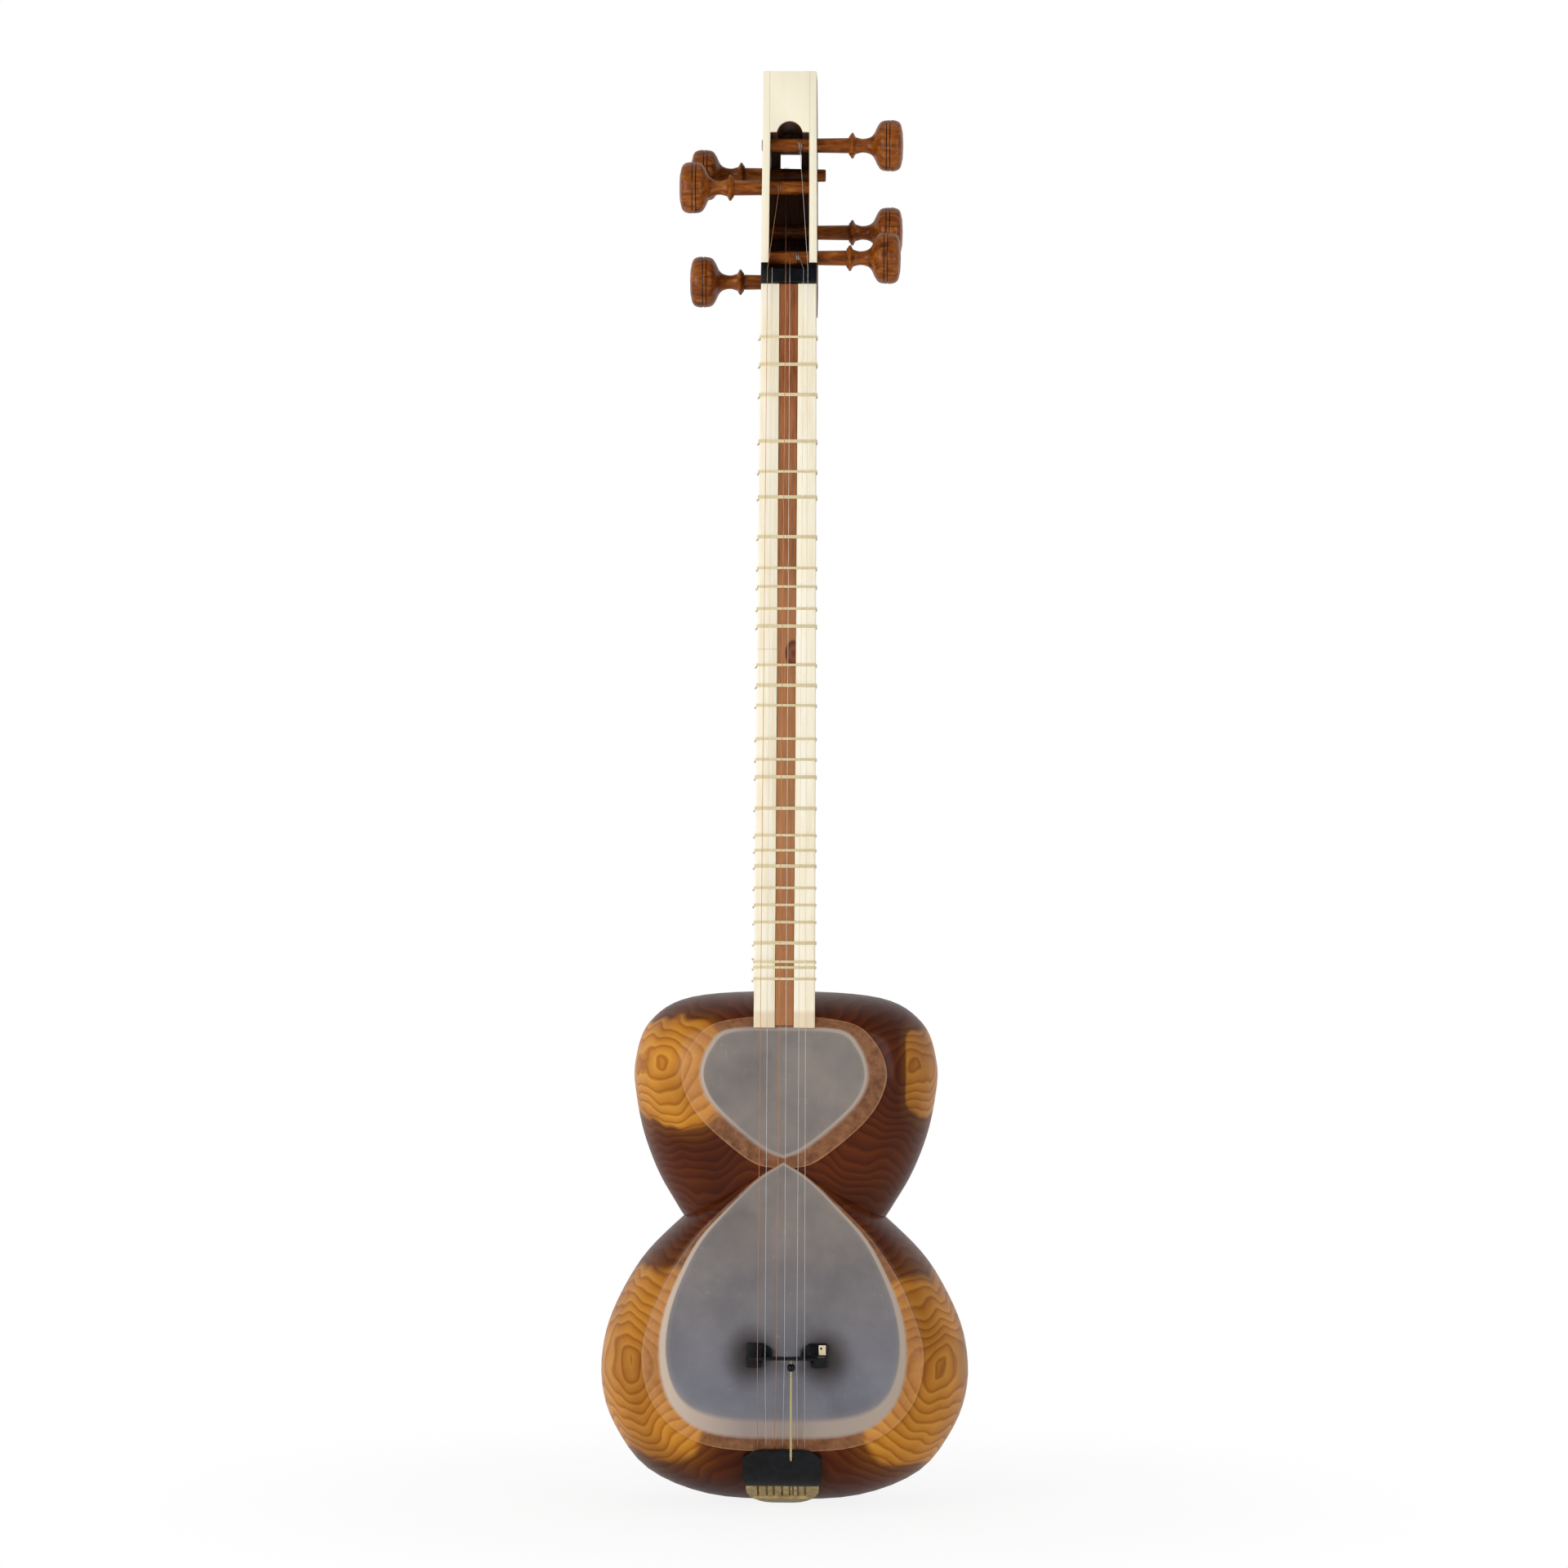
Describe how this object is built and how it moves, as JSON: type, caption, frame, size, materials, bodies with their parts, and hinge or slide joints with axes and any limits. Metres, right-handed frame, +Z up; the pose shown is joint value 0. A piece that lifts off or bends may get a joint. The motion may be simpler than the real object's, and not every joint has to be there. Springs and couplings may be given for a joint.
{
  "type": "long-necked lute",
  "caption": "Persian tar: double-bowl plucked lute with skin faces, bone-faced neck, sliding tied frets and turning pegs.",
  "frame": {"origin": "middle of the footprint, at the tailpiece's lowest edge", "axes": "+Z up along the instrument, strings face -Y, +X to the right seen from the front"},
  "size_m": [0.2426, 0.1792, 0.9397],
  "materials": {
    "mulberry": "gloss varnish",
    "skin": "thin translucent membrane, satin",
    "walnut": "satin",
    "bone": "polished bone",
    "horn": "polished dark horn",
    "paleHorn": "polished pale horn",
    "pegWood": "polished",
    "gut": "dry gut",
    "copper": "wound copper alloy",
    "steel": "plain steel",
    "cord": "twisted cord"
  },
  "bodies": {
    "frame": {"pegbox": "walnut", "head_facing": "bone", "nut": "horn", "neck": "walnut", "bone_left": "bone", "bone_right": "bone", "body_left": "mulberry", "body_right": "mulberry", "skin_large": "skin", "skin_small": "skin", "string_6": "steel", "string_3": "copper", "string_1": "copper", "string_4": "steel", "string_5": "steel", "string_2": "steel", "bridge": "horn", "bridge_tether": "cord", "tail_pad": "horn", "tailpiece": "paleHorn"},
    "peg_right_top": {"peg_right_top": "pegWood", "winding_6": "steel"},
    "peg_left_top": {"peg_left_top": "pegWood", "winding_3": "copper"},
    "peg_left_middle": {"peg_left_middle": "pegWood", "winding_1": "copper"},
    "peg_right_middle": {"peg_right_middle": "pegWood", "winding_4": "steel"},
    "peg_right_low": {"peg_right_low": "pegWood", "winding_5": "steel"},
    "peg_left_low": {"peg_left_low": "pegWood", "winding_2": "steel"},
    "fret_01": {"fret_01": "gut"},
    "fret_02": {"fret_02": "gut"},
    "fret_03": {"fret_03": "gut"},
    "fret_04": {"fret_04": "gut"},
    "fret_05": {"fret_05": "gut"},
    "fret_06": {"fret_06": "gut"},
    "fret_07": {"fret_07": "gut"},
    "fret_08": {"fret_08": "gut"},
    "fret_09": {"fret_09": "gut"},
    "fret_10": {"fret_10": "gut"},
    "fret_11": {"fret_11": "gut"},
    "fret_12": {"fret_12": "gut"},
    "fret_13": {"fret_13": "gut"},
    "fret_14": {"fret_14": "gut"},
    "fret_15": {"fret_15": "gut"},
    "fret_16": {"fret_16": "gut"},
    "fret_17": {"fret_17": "gut"},
    "fret_18": {"fret_18": "gut"},
    "fret_19": {"fret_19": "gut"},
    "fret_20": {"fret_20": "gut"},
    "fret_21": {"fret_21": "gut"},
    "fret_22": {"fret_22": "gut"},
    "fret_23": {"fret_23": "gut"},
    "fret_24": {"fret_24": "gut"},
    "fret_25": {"fret_25": "gut"},
    "fret_26": {"fret_26": "gut"},
    "fret_27": {"fret_27": "gut"},
    "fret_28": {"fret_28": "gut"}
  },
  "joints": [
    {"name": "peg_right_top_turn", "type": "hinge", "parent": "frame", "child": "peg_right_top", "pos_m": [0, -0.03507, 0.89209], "axis": [1, 0, 0], "continuous": true},
    {"name": "peg_left_top_turn", "type": "hinge", "parent": "frame", "child": "peg_left_top", "pos_m": [0, -0.00479, 0.87591], "axis": [1, 0, 0], "continuous": true},
    {"name": "peg_left_middle_turn", "type": "hinge", "parent": "frame", "child": "peg_left_middle", "pos_m": [0, -0.03637, 0.864], "axis": [1, 0, 0], "continuous": true},
    {"name": "peg_right_middle_turn", "type": "hinge", "parent": "frame", "child": "peg_right_middle", "pos_m": [0, -0.00655, 0.83797], "axis": [1, 0, 0], "continuous": true},
    {"name": "peg_right_low_turn", "type": "hinge", "parent": "frame", "child": "peg_right_low", "pos_m": [0, -0.03851, 0.81799], "axis": [1, 0, 0], "continuous": true},
    {"name": "peg_left_low_turn", "type": "hinge", "parent": "frame", "child": "peg_left_low", "pos_m": [0, -0.00809, 0.8049], "axis": [1, 0, 0], "continuous": true},
    {"name": "fret_01_slide", "type": "slide", "parent": "frame", "child": "fret_01", "axis": [0, 0.0464, 0.9989], "range_m": [-0.004, 0.004]},
    {"name": "fret_02_slide", "type": "slide", "parent": "frame", "child": "fret_02", "axis": [0, 0.0464, 0.9989], "range_m": [-0.004, 0.004]},
    {"name": "fret_03_slide", "type": "slide", "parent": "frame", "child": "fret_03", "axis": [0, 0.0464, 0.9989], "range_m": [-0.004, 0.004]},
    {"name": "fret_04_slide", "type": "slide", "parent": "frame", "child": "fret_04", "axis": [0, 0.0464, 0.9989], "range_m": [-0.004, 0.004]},
    {"name": "fret_05_slide", "type": "slide", "parent": "frame", "child": "fret_05", "axis": [0, 0.0464, 0.9989], "range_m": [-0.004, 0.004]},
    {"name": "fret_06_slide", "type": "slide", "parent": "frame", "child": "fret_06", "axis": [0, 0.0464, 0.9989], "range_m": [-0.004, 0.004]},
    {"name": "fret_07_slide", "type": "slide", "parent": "frame", "child": "fret_07", "axis": [0, 0.0464, 0.9989], "range_m": [-0.004, 0.004]},
    {"name": "fret_08_slide", "type": "slide", "parent": "frame", "child": "fret_08", "axis": [0, 0.0464, 0.9989], "range_m": [-0.004, 0.004]},
    {"name": "fret_09_slide", "type": "slide", "parent": "frame", "child": "fret_09", "axis": [0, 0.0464, 0.9989], "range_m": [-0.004, 0.004]},
    {"name": "fret_10_slide", "type": "slide", "parent": "frame", "child": "fret_10", "axis": [0, 0.0464, 0.9989], "range_m": [-0.004, 0.004]},
    {"name": "fret_11_slide", "type": "slide", "parent": "frame", "child": "fret_11", "axis": [0, 0.0464, 0.9989], "range_m": [-0.004, 0.004]},
    {"name": "fret_12_slide", "type": "slide", "parent": "frame", "child": "fret_12", "axis": [0, 0.0464, 0.9989], "range_m": [-0.004, 0.004]},
    {"name": "fret_13_slide", "type": "slide", "parent": "frame", "child": "fret_13", "axis": [0, 0.0464, 0.9989], "range_m": [-0.004, 0.004]},
    {"name": "fret_14_slide", "type": "slide", "parent": "frame", "child": "fret_14", "axis": [0, 0.0464, 0.9989], "range_m": [-0.004, 0.004]},
    {"name": "fret_15_slide", "type": "slide", "parent": "frame", "child": "fret_15", "axis": [0, 0.0464, 0.9989], "range_m": [-0.004, 0.004]},
    {"name": "fret_16_slide", "type": "slide", "parent": "frame", "child": "fret_16", "axis": [0, 0.0464, 0.9989], "range_m": [-0.004, 0.004]},
    {"name": "fret_17_slide", "type": "slide", "parent": "frame", "child": "fret_17", "axis": [0, 0.0464, 0.9989], "range_m": [-0.004, 0.004]},
    {"name": "fret_18_slide", "type": "slide", "parent": "frame", "child": "fret_18", "axis": [0, 0.0464, 0.9989], "range_m": [-0.004, 0.004]},
    {"name": "fret_19_slide", "type": "slide", "parent": "frame", "child": "fret_19", "axis": [0, 0.0464, 0.9989], "range_m": [-0.0036, 0.0036]},
    {"name": "fret_20_slide", "type": "slide", "parent": "frame", "child": "fret_20", "axis": [0, 0.0464, 0.9989], "range_m": [-0.0036, 0.0036]},
    {"name": "fret_21_slide", "type": "slide", "parent": "frame", "child": "fret_21", "axis": [0, 0.0464, 0.9989], "range_m": [-0.0037, 0.0037]},
    {"name": "fret_22_slide", "type": "slide", "parent": "frame", "child": "fret_22", "axis": [0, 0.0464, 0.9989], "range_m": [-0.004, 0.004]},
    {"name": "fret_23_slide", "type": "slide", "parent": "frame", "child": "fret_23", "axis": [0, 0.0464, 0.9989], "range_m": [-0.004, 0.004]},
    {"name": "fret_24_slide", "type": "slide", "parent": "frame", "child": "fret_24", "axis": [0, 0.0464, 0.9989], "range_m": [-0.004, 0.004]},
    {"name": "fret_25_slide", "type": "slide", "parent": "frame", "child": "fret_25", "axis": [0, 0.0464, 0.9989], "range_m": [-0.004, 0.004]},
    {"name": "fret_26_slide", "type": "slide", "parent": "frame", "child": "fret_26", "axis": [0, 0.0464, 0.9989], "range_m": [-0.0006, 0.0006]},
    {"name": "fret_27_slide", "type": "slide", "parent": "frame", "child": "fret_27", "axis": [0, 0.0464, 0.9989], "range_m": [-0.0006, 0.0006]},
    {"name": "fret_28_slide", "type": "slide", "parent": "frame", "child": "fret_28", "axis": [0, 0.0464, 0.9989], "range_m": [-0.0024, 0.0024]}
  ]
}
